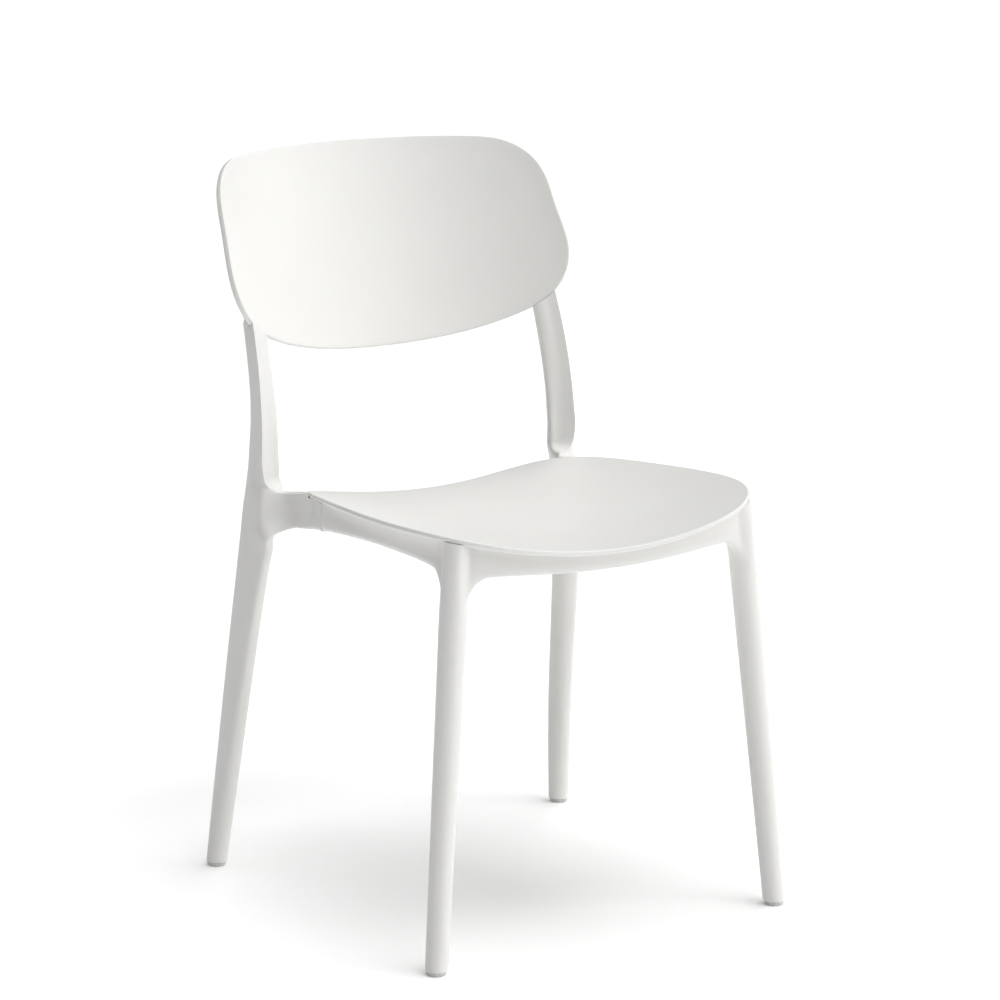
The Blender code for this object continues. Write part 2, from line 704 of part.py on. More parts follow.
def lap_face(y):
    """The plane on which a tongue lies against the inside of its side rail."""
    return side_rail_face(y) - SIDE_RAIL_THICK + LAP_DEPTH


def prism(name, plan, low, high, side):
    """A cutter with a flat outline in plan, between two heights."""
    bm = bmesh.new()
    face = bm.faces.new([bm.verts.new(mirrored((x, y, low), side)) for x, y in plan])
    made = bmesh.ops.extrude_face_region(bm, geom=[face])["geom"]
    tops = [item for item in made if isinstance(item, bmesh.types.BMVert)]
    bmesh.ops.translate(bm, verts=tops, vec=(0, 0, high - low))
    return cutter(name, bm)


def tongue(name, side):
    """The plate on the inside of a rear frame, which laps behind the side rail."""
    front, rear = TONGUE_FRONT_Y, TONGUE_REAR_Y
    plan = ((TONGUE_X, front), (lap_face(front), front), (lap_face(SEAM_Y), SEAM_Y),
            (0.182, SEAM_Y), (0.174, 0.045), (0.172, rear), (TONGUE_X, rear))
    return prism(name, plan, TONGUE_LOW_Z, TONGUE_HIGH_Z, side)


def tongue_room(name, side):
    """The flat that the inside of the side rail is cut back to, for the tongue."""
    front, rear = TONGUE_FRONT_Y - GAP, SEAM_Y + GAP
    inner = TONGUE_X - 0.010
    plan = ((inner, front), (lap_face(front) + GAP, front), (lap_face(rear) + GAP, rear),
            (inner, rear))
    return prism(name, plan, TONGUE_LOW_Z - GAP, TONGUE_HIGH_Z + 0.030, side)


def make_rear_frame(name, side, material):
    bm = rear_frame_cage()
    if side < 0:
        bmesh.ops.scale(bm, verts=bm.verts, vec=(-1, 1, 1))
    frame = add(name, bm, CHAIR, material)
    smooth(frame)
    pass_through(frame)
    triangulate(frame)
    boolean(frame, tongue(f"tongue_{side}", side), "UNION")
    pad = block(mirrored((CROSS_RAIL_FACE_X, 0.0725, 0.3990), side),
                mirrored((0.1740, 0.1040, 0.4160), side))
    boolean(frame, cutter(f"rail_pad_{side}", pad), "UNION")
    foot = mirrored((*REAR_FOOT_CENTRE, 0), side)
    cuts = [stem_hole(f"rear_stem_hole_{side}", foot)]
    for y in FRAME_BOLT_Y:
        start = mirrored((TONGUE_X - 0.002, y, FRAME_BOLT_Z), side)
        end = mirrored((TONGUE_X + TONGUE_THICK + 0.004, y, FRAME_BOLT_Z), side)
        cuts.append(cutter(f"tongue_hole_{side}_{y}", rod(start, end, BOLT_RADIUS + GAP)))
    for y in CROSS_RAIL_BOLT_Y:
        start = mirrored((CROSS_RAIL_FACE_X - 0.002, y, CROSS_RAIL_BOLT_Z), side)
        end = mirrored((CROSS_RAIL_FACE_X + INSERT_LONG + 2 * GAP, y, CROSS_RAIL_BOLT_Z), side)
        cuts.append(cutter(f"rear_pocket_{side}_{y}", rod(start, end, INSERT_RADIUS + GAP)))
        tip = mirrored((CROSS_RAIL_FACE_X + INSERT_LONG + 0.003, y, CROSS_RAIL_BOLT_Z), side)
        cuts.append(cutter(f"rear_pilot_{side}_{y}", rod(start, tip, BOLT_RADIUS + GAP)))
    for i, (spot, out) in enumerate(back_screw_places()):
        if spot.x * side > 0:
            head_under = spot - out * back_head_depth()
            through = spot - out * (back_head_depth() + 0.002)
            cuts.append(cutter(f"upright_hole_{i}", rod(spot, through, SCREW_RADIUS + GAP)))
            rear = spot - out * 0.060
            cuts.append(cutter(f"upright_bore_{i}", rod(head_under, rear, CAP_RADIUS + GAP)))
    for tool in cuts + [BACK_SPACE, SEAT_SPACE]:
        boolean(frame, tool)
    return frame


def back_head_depth():
    """How far behind the back's front face the screws' heads bear on the uprights."""
    return BACK_THICK + 0.0030


def make_cross_rail(material):
    """An arched bar between the rear frames, with a flange at each end and two seat lugs."""
    bm = bmesh.new()
    end_x = CROSS_RAIL_FACE_X - GAP
    half = 0.146
    stations = (-half, -0.1, -0.05, 0.0, 0.05, 0.1, half)
    rings = []
    for x in stations:
        arch = 1.0 - (x / half) ** 2
        front_y, low, high = 0.0830 + 0.006 * arch, 0.3985 + 0.002 * arch, 0.4120
        corners = ((front_y, low), (front_y, high), (front_y + 0.010, high), (front_y + 0.010, low))
        rings.append(ring_of(bm, [(x, y, z) for y, z in corners]))
    for near, far in zip(rings, rings[1:]):
        quads_between(bm, near, far)
    bm.faces.new(rings[0])
    bm.faces.new(rings[-1])
    rail = add("rear_cross_rail", bm, CHAIR, material)
    for side in (1, -1):
        low, high = (half - 0.004, 0.0740, 0.3990), (end_x, 0.1025, 0.4160)
        flange = block(mirrored(low, side), mirrored(high, side))
        boolean(rail, cutter(f"rail_flange_{side}", flange), "UNION")
        room = block(mirrored((half - 0.006, 0.0700, 0.3900), side),
                     mirrored((end_x - 0.0075, 0.0845, 0.4200), side))
        boolean(rail, cutter(f"rail_flange_room_{side}", room))
    cuts = []
    for i, (x, y, floor) in enumerate(seat_bosses()[2:]):
        body, bore, clear = lug(f"rear_lug_{i}", x, y, floor, 0.0940)
        boolean(rail, body, "UNION")
        cuts += [bore, clear]
    for side in (1, -1):
        for y in CROSS_RAIL_BOLT_Y:
            bolt = rod(mirrored((half - 0.008, y, CROSS_RAIL_BOLT_Z), side),
                       mirrored((end_x + 0.002, y, CROSS_RAIL_BOLT_Z), side), BOLT_RADIUS + GAP)
            cuts.append(cutter(f"flange_hole_{side}_{y}", bolt))
            head = rod(mirrored((half - 0.010, y, CROSS_RAIL_BOLT_Z), side),
                       mirrored((end_x - 0.0075, y, CROSS_RAIL_BOLT_Z), side),
                       BOLT_HEAD_RADIUS + 2 * GAP)
            cuts.append(cutter(f"flange_recess_{side}_{y}", head))
    for tool in cuts + [SEAT_TRIM]:
        boolean(rail, tool)
    return rail


def make_glides(material):
    feet = {"front": FRONT_LEG_FOOT, "rear": Vector((*REAR_FOOT_CENTRE, 0.0))}
    edge = 0.0012
    profile = ((0.0, GLIDE_STEM_TOP), (GLIDE_STEM_RADIUS, GLIDE_STEM_TOP),
               (GLIDE_STEM_RADIUS, GLIDE_HIGH), (GLIDE_RADIUS, GLIDE_HIGH),
               (GLIDE_RADIUS, edge), (GLIDE_RADIUS - edge, 0.0), (0.0, 0.0))
    for row, foot in feet.items():
        for side, word in ((1, "right"), (-1, "left")):
            turned(f"foot_glide_{row}_{word}", profile, mirrored(foot, side), (0, 0, 1), material)


def make_insert(name, mouth_point, direction, material):
    """A threaded insert. direction points out of the pocket that it sits in."""
    bore = BOLT_RADIUS + GAP
    profile = ((bore, 0.0), (INSERT_RADIUS, 0.0), (INSERT_RADIUS, -INSERT_LONG), (bore, -INSERT_LONG),
               (bore, 0.0))
    return turned(name, profile, mouth_point, direction, material, sides=SMALL_SIDES)


def make_frame_fastenings(steel, brass):
    bolt = (BOLT_RADIUS, BOLT_HEAD_RADIUS, BOLT_HEAD_HIGH)
    for side, word in ((1, "right"), (-1, "left")):
        inward = (-side, 0, 0)
        for y, place in zip(FRAME_BOLT_Y, ("front", "rear")):
            mouth_point = mirrored((lap_face(y) + 2 * GAP, y, FRAME_BOLT_Z), side)
            make_insert(f"frame_insert_{word}_{place}", mouth_point, inward, brass)
            under = mirrored((TONGUE_X - GAP, y, FRAME_BOLT_Z), side)
            headed(f"frame_bolt_{word}_{place}", under, inward, 0.0165, bolt, steel)
        for y, place in zip(CROSS_RAIL_BOLT_Y, ("front", "rear")):
            mouth_point = mirrored((CROSS_RAIL_FACE_X + GAP, y, CROSS_RAIL_BOLT_Z), side)
            make_insert(f"cross_rail_insert_{word}_{place}", mouth_point, inward, brass)
            under = mirrored((CROSS_RAIL_FACE_X - 2 * GAP - 0.0075, y, CROSS_RAIL_BOLT_Z), side)
            headed(f"cross_rail_bolt_{word}_{place}", under, inward, 0.0180, bolt, steel)


def make_screws(steel, white):
    screw = (SCREW_RADIUS, SCREW_HEAD_RADIUS, SCREW_HEAD_HIGH)
    names = ("front_right", "front_left", "rear_right", "rear_left")
    for name, (x, y, floor) in zip(names, seat_bosses()):
        under = (x, y, floor - LUG_FLOOR - GAP)
        headed(f"seat_screw_{name}", under, (0, 0, -1), 0.0130, screw, steel)
    names = ("right_lower", "right_upper", "left_lower", "left_upper")
    for name, (spot, out) in zip(names, back_screw_places()):
        under = spot - out * (back_head_depth() + GAP)
        headed(f"back_screw_{name}", under, -out, 0.0075, screw, steel)
        seat = under - out * (SCREW_HEAD_HIGH + GAP)
        edge = 0.0004
        profile = ((0.0, CAP_THICK), (CAP_RADIUS - edge, CAP_THICK), (CAP_RADIUS, CAP_THICK - edge),
                   (CAP_RADIUS, 0.0), (0.0, 0.0))
        turned(f"back_screw_cap_{name}", profile, seat, -out, white)


# ---------------------------------------------------------------- the chair

clear_scene()
CHAIR = collection("stacking_chair", shown=True)
CUTTERS = collection("cutters", shown=False)
SEAT_SPACE = space_for_seat("seat_space", SHELL_CLEARANCE)
SEAT_TRIM = space_for_seat("seat_trim", 0.020)
BACK_SPACE = space_for_back("back_space")

shell_white = plastic("shell_white", WHITE, 0.45)
frame_white = plastic("frame_white", WHITE, 0.35)
glide_white = plastic("glide_white", (0.75, 0.75, 0.73), 0.5)
zinc = plastic("zinc_steel", (0.56, 0.56, 0.55), 0.35, 1.0)
brass = plastic("brass", (0.72, 0.55, 0.28), 0.35, 1.0)

make_seat(shell_white)
make_back(shell_white)
make_front_frame(frame_white)
make_rear_frame("rear_side_frame_right", 1, frame_white)
make_rear_frame("rear_side_frame_left", -1, frame_white)
make_cross_rail(frame_white)
make_glides(glide_white)
make_frame_fastenings(zinc, brass)
make_screws(zinc, frame_white)
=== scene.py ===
"""The looks of a white moulded stacking chair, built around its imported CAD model.

Metres, +Z up. The chair faces -Y and stands on z = 0. Right means +X.
"""

import math

import bmesh
import bpy
from mathutils import Matrix, Vector


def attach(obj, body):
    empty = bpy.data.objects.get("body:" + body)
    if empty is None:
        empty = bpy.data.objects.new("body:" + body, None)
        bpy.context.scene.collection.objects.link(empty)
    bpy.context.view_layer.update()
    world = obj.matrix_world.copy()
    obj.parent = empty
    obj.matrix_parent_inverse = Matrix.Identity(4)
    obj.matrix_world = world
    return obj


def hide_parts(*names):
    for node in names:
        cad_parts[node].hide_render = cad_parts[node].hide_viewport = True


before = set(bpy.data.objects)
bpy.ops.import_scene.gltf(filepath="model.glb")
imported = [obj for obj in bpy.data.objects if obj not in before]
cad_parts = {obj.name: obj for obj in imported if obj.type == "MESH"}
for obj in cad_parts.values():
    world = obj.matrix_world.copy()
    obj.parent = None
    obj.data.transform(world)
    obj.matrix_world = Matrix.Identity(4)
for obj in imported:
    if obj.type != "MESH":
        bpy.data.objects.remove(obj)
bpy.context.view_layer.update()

# ---------------------------------------------------------------- dimensions, as in the CAD

GAP = 0.0003
SHELL_CLEARANCE = 0.00015

SEAT_THICK = 0.0055
SEAT_MIDDLE_Z = 0.4203
SEAT_FRONT_Y, SEAT_REAR_Y = -0.2886, 0.1036
SEAT_LIP_START_Y, SEAT_LIP_RISE = -0.140, 0.0065
SEAT_TAIL_START_Y, SEAT_TAIL_DROP = 0.010, 0.0035
SEAT_SIDE_RISE_FRONT, SEAT_SIDE_RISE_REAR = 0.84, 0.66
SEAT_HALF_OUTLINE = (
    (0.0, SEAT_FRONT_Y), (0.0665, -0.2860), (0.1276, -0.2767), (0.1745, -0.2550),
    (0.2050, -0.2085), (0.2107, -0.1441), (0.2030, -0.0715), (0.1901, 0.0036),
    (0.1760, 0.0550), (0.1545, 0.0925), (0.1176, 0.1088), (0.0600, 0.1066), (0.0, SEAT_REAR_Y),
)

BACK_THICK = 0.0070
BACK_CENTRE = Vector((0.0, 0.2358, 0.6728))
BACK_TILT = math.radians(22.4)
BACK_RADIUS = 0.328
BACK_HALF_ARC = 0.2295
BACK_HALF_HEIGHT = 0.119
BACK_TAPER = 0.0626
BACK_TOP_POWERS = (1.73, 5.34)
BACK_BOTTOM_POWERS = (2.44, 4.30)
BACK_TOP_CORNER, BACK_BOTTOM_CORNER = math.radians(28), math.radians(33)

LEG_FOOT_Z = 0.0050
FRONT_LEG_FOOT = Vector((0.2138, -0.2625, 0.0))
FRONT_LEG_LEAN = Vector((-0.0898, 0.052, 1.0))
FRONT_LEG_RADIUS, FRONT_LEG_FLARE = 0.0120, 0.0066
FRONT_LEG_TURN = -32.5
REAR_FOOT_CENTRE = (0.2276, 0.1818)
REAR_FOOT_RADIUS = 0.0116

FRONT_RAIL_BOW, FRONT_RAIL_END_Y, FRONT_RAIL_SPAN = 0.0218, -0.2532, 0.168
RAIL_THICK = 0.0105
SIDE_RAIL_THICK = 0.012
SIDE_RAIL_FRONT_Y, SIDE_RAIL_FRONT_X, SIDE_RAIL_SLOPE = -0.225, 0.1840, 0.0206
SEAM_Y = 0.0083
SEAM_WIDTH = 0.0006
RAIL_CAGE_TOP = 0.453

TONGUE_X, TONGUE_THICK = 0.1678, 0.0085
LAP_DEPTH = 0.0008
TONGUE_FRONT_Y, TONGUE_REAR_Y = -0.058, 0.070
TONGUE_LOW_Z, TONGUE_HIGH_Z = 0.4150, 0.4330
TONGUE_ROOT = ((0.182, SEAM_Y), (0.174, 0.045), (0.172, TONGUE_REAR_Y))
TONGUE_ROOM_INWARD, TONGUE_ROOM_RISE = 0.010, 0.030
BOLT_RADIUS = 0.0025
INSERT_RADIUS, INSERT_LONG = 0.0036, 0.0080
FRAME_BOLT_Y, FRAME_BOLT_Z = (-0.045, -0.018), 0.4240
FRAME_BOLT_REACH = TONGUE_THICK + 0.004
CROSS_RAIL_FACE_X = 0.1620
CROSS_RAIL_BOLT_Y, CROSS_RAIL_BOLT_Z = (0.0795, 0.0970), 0.4075
PILOT_DEEP = INSERT_LONG + 0.003
RAIL_PAD_LOW = (CROSS_RAIL_FACE_X, 0.0725, 0.3990)
RAIL_PAD_HIGH = (0.1740, 0.1040, 0.4160)
SCREW_RADIUS = 0.0018
BOSS_RADIUS = 0.0046
BOSS_DROP = 0.0085              # from the seat's underside to a lug's floor
BOSS_BITE = 0.4 * SEAT_THICK    # how far below the seat's upper surface a boss starts
BOSS_HOLE_START, BOSS_HOLE_DEEP = 0.001, 0.0105
LUG_HALF, LUG_FLOOR = 0.0105, 0.0035
LUG_RISE, LUG_BORE_RISE = 0.030, 0.040      # cut off later, where the seat's room begins
FRONT_LUG, REAR_LUG = (0.100, -0.2345), (0.100, 0.0620)
BACK_SCREW_ARC, BACK_SCREW_HEIGHTS = 0.1935, (-0.080, -0.040)
CAP_RADIUS = 0.0050
CAP_BORE_START = BACK_THICK + 0.0030        # behind the front of the back
CAP_BORE_END = 0.060
PAST_FACE = 0.002               # how far a drilled hole starts or ends past a face
SOFT_EDGE = 0.0008
SEAT_RIM, BACK_RIM = 0.030, 0.028           # from the edge in to the grid that closes a shell
ROOM_RIM = 0.020                # the same, for the room that the seat takes up
ROOM_ABOVE_SEAT, ROOM_BEFORE_BACK = 0.030, 0.040
TRIM_MARGIN = 0.020             # how far out past the seat's edge its room trims the rails

# A section lists (inward, backward) shares of the width and the depth, round the piece.
ROUND_SECTION = ((0.146, 0.0), (0.5, -0.207), (0.854, 0.0), (1.0, 0.5),
                 (0.854, 1.0), (0.5, 1.207), (0.146, 1.0), (0.0, 0.5))
LEG_SECTION = ((0.10, 0.0), (0.48, -0.04), (0.86, 0.11), (1.0, 0.43),
               (0.85, 0.73), (0.41, 0.91), (0.08, 1.0), (0.0, 0.47))
UPRIGHT_SECTION = ((0.0, 0.0), (0.38, 0.23), (0.72, 0.357), (1.0, 0.655),
                   (0.70, 1.04), (0.34, 1.09), (0.05, 1.0), (0.0, 0.5))
BASE_SECTION = ((0.0, 0.0), (0.38, 0.18), (0.74, 0.29), (1.0, 0.42),
                (0.61, 0.98), (0.33, 1.07), (0.05, 1.0), (0.0, 0.5))
SHOULDER_SECTION = ((0.50, 0.10), (0.66, 0.08), (0.86, 0.16), (1.0, 0.36),
                    (0.64, 0.89), (0.34, 1.03), (0.06, 1.0), (0.02, 0.32))
LOW_SHOULDER_SECTION = ((0.30, 0.16), (0.62, 0.02), (0.94, 0.12), (1.0, 0.44),
                        (0.80, 0.80), (0.38, 0.96), (0.07, 1.0), (0.0, 0.38))

SEAT_GRID, BACK_GRID = (6, 6), (8, 4)       # faces across and up in a shell's closing grids
SHAPE_LEVELS = 3
CRISP_ANGLE = math.radians(38)


# ---------------------------------------------------------------- helpers

def add(name, bm, material=None):
    """A new object from a bmesh, with its faces turned outward."""
    mesh = bpy.data.meshes.new(name)
    unused = [vert for vert in bm.verts if not vert.link_faces]
    bmesh.ops.delete(bm, geom=unused, context="VERTS")
    bmesh.ops.recalc_face_normals(bm, faces=bm.faces)
    if bm.calc_volume(signed=True) < 0:
        bmesh.ops.reverse_faces(bm, faces=bm.faces)
    bm.to_mesh(mesh)
    bm.free()
    obj = bpy.data.objects.new(name, mesh)
    bpy.context.scene.collection.objects.link(obj)
    if material:
        mesh.materials.append(material)
    mesh.shade_smooth()
    return obj


def smooth(obj, levels):
    """Subdivides the surface, as a modifier that settle() applies later."""
    modifier = obj.modifiers.new("Smooth", "SUBSURF")
    modifier.levels = modifier.render_levels = levels
    modifier.boundary_smooth = "ALL"


def evaluated_mesh(obj):
    """A copy of the object's mesh with its modifiers applied."""
    bpy.context.view_layer.update()
    graph = bpy.context.evaluated_depsgraph_get()
    return bpy.data.meshes.new_from_object(obj.evaluated_get(graph), depsgraph=graph)


def pass_through(obj, rounds=4):
    """Moves a cage until the smoothed surface runs through the points the cage was given."""
    goals = [vert.co.copy() for vert in obj.data.vertices]
    for _ in range(rounds):
        obj.data.update()
        bpy.context.view_layer.update()
        graph = bpy.context.evaluated_depsgraph_get()
        reached = obj.evaluated_get(graph).data.vertices
        misses = [goal - reached[i].co for i, goal in enumerate(goals)]
        for vert, miss in zip(obj.data.vertices, misses):
            vert.co += miss
    obj.data.update()


def settle(obj):
    """Applies the modifiers."""
    mesh = evaluated_mesh(obj)
    obj.modifiers.clear()
    obj.data = mesh


def carve(obj, tools, operation="DIFFERENCE"):
    """Cuts every tool from the object, or joins it on, and removes the tools."""
    for tool in tools:
        modifier = obj.modifiers.new("Cut", "BOOLEAN")
        modifier.operation = operation
        modifier.solver = "EXACT"
        modifier.object = tool
    settle(obj)
    for tool in tools:
        bpy.data.objects.remove(tool, do_unlink=True)


def crisp(obj):
    """Keeps cut edges sharp and curved faces smooth."""
    obj.data.shade_smooth()
    obj.data.set_sharp_from_angle(angle=CRISP_ANGLE)


def quads_between(bm, lower, upper, skip=()):
    """Joins two rings of equal length with faces, except at the columns to skip."""
    count = len(lower)
    for i in range(count):
        if i not in skip:
            j = (i + 1) % count
            bm.faces.new((lower[i], lower[j], upper[j], upper[i]))


def crease_ring(bm, ring, value=1.0):
    """Keeps a ring of edges sharp when the surface is smoothed."""
    layer = bm.edges.layers.float.get("crease_edge") or bm.edges.layers.float.new("crease_edge")
    for i, vert in enumerate(ring):
        bm.edges.get((vert, ring[(i + 1) % len(ring)]))[layer] = value


def cap_eight(bm, ring):
    """Closes the end of a leg or an upright, a ring of eight points."""
    for corners in ((0, 1, 2, 3), (0, 3, 4, 7), (4, 5, 6, 7)):
        bm.faces.new([ring[i] for i in corners])


def cap_rail(bm, ring):
    """Closes the end of a rail, a ring of ten points as rail_ring() gives them."""
    for corners in ((0, 1, 7, 8), (1, 2, 6, 7), (2, 3, 5, 6), (3, 4, 5), (0, 8, 9)):
        bm.faces.new([ring[i] for i in corners])


def ring_of(bm, points):
    """New vertices at the points, in their order."""
    return [bm.verts.new(point) for point in points]


def mouth(rings, front, middle, back):
    """The ring of points round the opening that a rail joins, in rail_ring()'s order."""
    up = [ring[front] for ring in rings]
    down = [ring[back] for ring in reversed(rings)]
    return up + [rings[-1][middle]] + down + [rings[0][middle]]


def rail_ring(place, thick, low, high):
    """Ten points round a rail: up its outer face, over the top and down its inner face."""
    rounding = 0.28 * thick
    rows = [low + rounding, low + 0.36 * (high - low), low + 0.70 * (high - low), high - rounding]
    up = [place(0.0, z) for z in rows]
    down = [place(1.0, z) for z in reversed(rows)]
    return up + [place(0.5, high)] + down + [place(0.5, low)]


def mirrored(point, side):
    """The point on the right (side 1) or the left (side -1)."""
    return Vector((side * point[0], point[1], point[2]))


def prism(name, plan, low, high, side, edge=0.0):
    """A solid with a flat outline in plan, between two heights, with softened edges."""
    bm = bmesh.new()
    face = bm.faces.new([bm.verts.new(mirrored((x, y, low), side)) for x, y in plan])
    made = bmesh.ops.extrude_face_region(bm, geom=[face])["geom"]
    tops = [item for item in made if isinstance(item, bmesh.types.BMVert)]
    bmesh.ops.translate(bm, verts=tops, vec=(0, 0, high - low))
    soften(bm, edge)
    return add(name, bm)


def soften(bm, edge):
    """Rounds every edge of a moulded block."""
    if edge:
        bmesh.ops.bevel(bm, geom=list(bm.edges), offset=edge, segments=3, profile=0.5,
                        affect="EDGES", clamp_overlap=True)


def block(name, low, high, side, edge=0.0):
    """A box between two opposite corners."""
    (x0, y0, z0), (x1, y1, z1) = low, high
    return prism(name, ((x0, y0), (x1, y0), (x1, y1), (x0, y1)), z0, z1, side, edge)


def rod(name, start, end, radius, sides=32):
    """A round bar between two points."""
    start, end = Vector(start), Vector(end)
    along = end - start
    bm = bmesh.new()
    place = Matrix.Translation((start + end) / 2) @ along.to_track_quat("Z", "Y").to_matrix().to_4x4()
    bmesh.ops.create_cone(bm, cap_ends=True, segments=sides, radius1=radius, radius2=radius,
                          depth=along.length, matrix=place)
    return add(name, bm)


# ---------------------------------------------------------------- seat and back surfaces

def seat_top(x, y):
    """The height of the seat's upper surface: a saddle with a raised front lip and a dropped tail."""
    lip = max(0.0, (SEAT_LIP_START_Y - y) / (SEAT_LIP_START_Y - SEAT_FRONT_Y))
    tail = max(0.0, (y - SEAT_TAIL_START_Y) / (SEAT_REAR_Y - SEAT_TAIL_START_Y))
    along = (y - SEAT_FRONT_Y) / (SEAT_REAR_Y - SEAT_FRONT_Y)
    side_rise = SEAT_SIDE_RISE_FRONT + along * (SEAT_SIDE_RISE_REAR - SEAT_SIDE_RISE_FRONT)
    centre_line = SEAT_MIDDLE_Z + SEAT_LIP_RISE * lip ** 2 - SEAT_TAIL_DROP * tail ** 2
    return centre_line + side_rise * x * x


def seat_point(x, y, depth=0.0):
    """A point that far below the seat's upper surface."""
    step = 0.001
    slope_x = (seat_top(x + step, y) - seat_top(x - step, y)) / (2 * step)
    slope_y = (seat_top(x, y + step) - seat_top(x, y - step)) / (2 * step)
    normal = Vector((-slope_x, -slope_y, 1.0)).normalized()
    return Vector((x, y, seat_top(x, y))) - depth * normal


def seat_outline():
    """The seat's outline in plan, starting at a corner of its four-sided grid."""
    right = list(SEAT_HALF_OUTLINE)
    left = [(-x, y) for x, y in reversed(right[1:-1])]
    loop = right + left
    return loop[-3:] + loop[:-3]


def back_point(arc, height, depth=0.0):
    """A point that far behind the back's front, on a tilted cylinder."""
    angle = arc / BACK_RADIUS
    forward = BACK_RADIUS * (1.0 - math.cos(angle))
    up = Vector((0.0, math.sin(BACK_TILT), math.cos(BACK_TILT)))
    out = Vector((0.0, -math.cos(BACK_TILT), math.sin(BACK_TILT)))
    normal = Vector((-math.sin(angle), 0, 0)) + math.cos(angle) * out
    around = Vector((BACK_RADIUS * math.sin(angle), 0, 0)) + forward * out
    return BACK_CENTRE + around + height * up - depth * normal


def back_edge(turn):
    """A point of the back's outline: a squared oval that narrows upward."""
    wide, tall = BACK_TOP_POWERS if math.sin(turn) > 0 else BACK_BOTTOM_POWERS
    height = BACK_HALF_HEIGHT * math.copysign(abs(math.sin(turn)) ** (2 / tall), math.sin(turn))
    taper = 1.0 - BACK_TAPER * height / BACK_HALF_HEIGHT
    arc = BACK_HALF_ARC * math.copysign(abs(math.cos(turn)) ** (2 / wide), math.cos(turn)) * taper
    return arc, height


def even_points(curve, start, end, count, fineness=400):
    """That many points at equal steps along a curve, without its end."""
    line = [curve(start + (end - start) * i / fineness) for i in range(fineness + 1)]
    run = [0.0]
    for a, b in zip(line, line[1:]):
        run.append(run[-1] + math.dist(a, b))
    spots = []
    for k in range(count):
        want = run[-1] * k / count
        i = max(j for j in range(fineness) if run[j] <= want)
        share = (want - run[i]) / (run[i + 1] - run[i])
        spots.append(tuple(p + share * (q - p) for p, q in zip(line[i], line[i + 1])))
    return spots


def back_outline(across, upward):
    """The back's outline as (arc, height), with that many points along each side."""
    low, high, half = -BACK_BOTTOM_CORNER, BACK_TOP_CORNER, math.pi
    stops = (-half - low, low, high, half - high, half - low)
    counts = (across, upward, across, upward)
    outline = []
    for start, end, count in zip(stops, stops[1:], counts):
        outline += even_points(back_edge, start, end, count)
    return outline


def inset_outline(outline, margin):
    """The outline moved inward by the margin, square to its own edge. Negative moves it outward."""
    count = len(outline)
    moved = []
    for i, point in enumerate(outline):
        before, after = outline[i - 1], outline[(i + 1) % count]
        along = Vector((after[0] - before[0], after[1] - before[1])).normalized()
        moved.append((point[0] - along.y * margin, point[1] + along.x * margin))
    return moved


def patch_grid(edge, across, upward):
    """Plan points (i, j) of a four-sided grid blended inside its edge loop."""
    corner = (0, across, across + upward, 2 * across + upward)
    flat = {}
    for i in range(across + 1):
        for j in range(upward + 1):
            s, t = i / across, j / upward
            low, high = edge[i], edge[corner[3] - i]
            left, right = edge[-j], edge[corner[1] + j]
            flat[i, j] = tuple(
                (1 - t) * low[k] + t * high[k] + (1 - s) * left[k] + s * right[k]
                - (1 - s) * (1 - t) * edge[corner[0]][k] - s * (1 - t) * edge[corner[1]][k]
                - s * t * edge[corner[2]][k] - (1 - s) * t * edge[corner[3]][k]
                for k in (0, 1)
            )
    return flat


def shell(outline, across, upward, profile, surface):
    """A closed shell over an outline. profile lists (inset, depth) from the top, round the rim, to
    the underside. surface(u, v, depth) gives a point; four-sided grids close both faces."""
    bm = bmesh.new()
    loops = []
    for inset, depth in profile:
        plan = inset_outline(outline, inset)
        loops.append([bm.verts.new(surface(u, v, depth)) for u, v in plan])
    for outer, inner in zip(loops, loops[1:]):
        quads_between(bm, outer, inner)
    for loop, (inset, depth) in ((loops[0], profile[0]), (loops[-1], profile[-1])):
        flat = patch_grid(inset_outline(outline, inset), across, upward)
        corner = (0, across, across + upward, 2 * across + upward)
        grid = {}
        for (i, j), spot in flat.items():
            if i in (0, across) or j in (0, upward):
                on_edge = {0: -j, across: corner[1] + j}.get(i, i if j == 0 else corner[3] - i)
                grid[i, j] = loop[on_edge]
            else:
                grid[i, j] = bm.verts.new(surface(*spot, depth))
        for i in range(across):
            for j in range(upward):
                bm.faces.new((grid[i, j], grid[i + 1, j], grid[i + 1, j + 1], grid[i, j + 1]))
    return bm


def room_of_shell(name, outline, across, upward, profile, surface):
    """A closed block with a crisp edge at its two outer loops, to cut a shell's room with."""
    obj = add(name, shell(outline, across, upward, profile, surface))
    smooth(obj, SHAPE_LEVELS)
    crease_loops(obj, (1, 2), len(outline))
    pass_through(obj)
    settle(obj)
    return obj


def room_of_seat(name, margin):
    """The room above the seat's underside, out to the outline grown by the margin."""
    top, depth = -ROOM_ABOVE_SEAT, SEAT_THICK + SHELL_CLEARANCE
    inner = ROOM_RIM - margin
    profile = ((inner, top), (-margin, top), (-margin, depth), (inner, depth))
    return room_of_shell(name, seat_outline(), *SEAT_GRID, profile, seat_point)


def room_of_back(name):
    """The room in front of the back's rear face, out to the outline grown by the clearance."""
    front, depth = -ROOM_BEFORE_BACK, BACK_THICK + SHELL_CLEARANCE
    margin = SHELL_CLEARANCE
    profile = ((BACK_RIM, front), (-margin, front), (-margin, depth), (BACK_RIM, depth))
    return room_of_shell(name, back_outline(*BACK_GRID), *BACK_GRID, profile, back_point)


